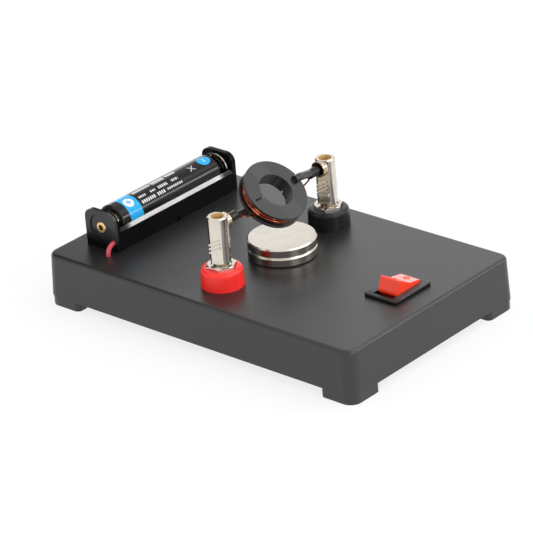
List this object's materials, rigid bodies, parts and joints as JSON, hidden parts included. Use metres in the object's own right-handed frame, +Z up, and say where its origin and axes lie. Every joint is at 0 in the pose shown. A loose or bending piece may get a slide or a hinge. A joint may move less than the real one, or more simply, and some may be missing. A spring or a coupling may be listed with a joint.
{
  "type": "demonstration electric motor",
  "caption": "Classroom electric motor: coil rotor turning in two socket terminals above disc magnets, with a battery holder and rocker switch on a moulded tray.",
  "frame": {"origin": "middle of the tray, on the surface that its feet stand on", "axes": "+Z up, +X along the tray from the battery holder to the switch, +Y along the rotor's shaft from the red terminal to the black one"},
  "size_m": [0.118, 0.0742, 0.0437],
  "materials": {
    "charcoal_shell": "satin moulded, fine texture",
    "black_plastic": "satin gloss",
    "red_plastic": "gloss",
    "rocker_red": "gloss",
    "grey_plastic": "matt moulded",
    "nickel": "bright nickel plate",
    "steel": "zinc plated",
    "spring_steel": "bright drawn wire",
    "brass": "bright",
    "fibre": "matt fibre",
    "copper_wire": "enamelled wire",
    "tinned": "tinned, dull",
    "cell_black": "printed film sleeve",
    "cell_steel": "nickel plated can",
    "red_sleeve": "soft insulation",
    "black_sleeve": "soft insulation"
  },
  "bodies": {
    "base": {"base_shell": "charcoal_shell", "battery_box": "black_plastic", "battery_box_screws": "steel", "cell_spring": "spring_steel", "contact_eyelets": "brass", "contact_plate_negative": "nickel", "contact_plate_positive": "nickel", "lead_black": "black_sleeve", "lead_link": "black_sleeve", "lead_red": "red_sleeve", "magnet_lower": "nickel", "magnet_upper": "nickel", "solder_tags": "tinned", "terminal_washers": "fibre", "terminal_lock_nuts": "nickel", "terminal_collar_nuts": "nickel", "terminal_collar_red": "red_plastic", "terminal_collar_black": "black_plastic", "terminal_post_red": "nickel", "terminal_post_black": "nickel", "switch_housing": "black_plastic", "switch_tab_common": "brass", "switch_tab_output": "brass"},
    "rotor": {"bobbin_half_front": "grey_plastic", "bobbin_half_back": "grey_plastic", "coil_winding": "copper_wire", "coil_lead_front": "copper_wire", "coil_lead_back": "copper_wire", "contact_sleeve_front": "tinned", "contact_sleeve_back": "tinned"},
    "rocker": {"switch_rocker": "rocker_red", "switch_plunger": "steel", "switch_spring": "spring_steel"},
    "contact_blade": {"switch_contact_blade": "brass"},
    "cell": {"cell_can": "cell_steel", "cell_label": "cell_black", "cell_negative_disc": "cell_steel", "cell_positive_cap": "cell_steel"}
  },
  "joints": [
    {"name": "rotor_spin", "type": "hinge", "parent": "base", "child": "rotor", "pos_m": [0, 0.0006, 0.0354], "axis": [0, 1, 0], "continuous": true},
    {"name": "rocker_tilt", "type": "hinge", "parent": "base", "child": "rocker", "pos_m": [0.04495, 0.0011, 0.0153], "axis": [1, 0, 0], "range_deg": [0, 40]},
    {"name": "blade_tilt", "type": "hinge", "parent": "base", "child": "contact_blade", "pos_m": [0.04495, 0.0011, 0.01004], "axis": [1, 0, 0], "range_deg": [-14, 0]},
    {"name": "cell_lift", "type": "slide", "parent": "base", "child": "cell", "axis": [0, 0, 1], "range_m": [0, 0.02]}
  ],
  "couplings": [
    {"joint": "blade_tilt", "follows": "rocker_tilt", "ratio": -0.35}
  ]
}
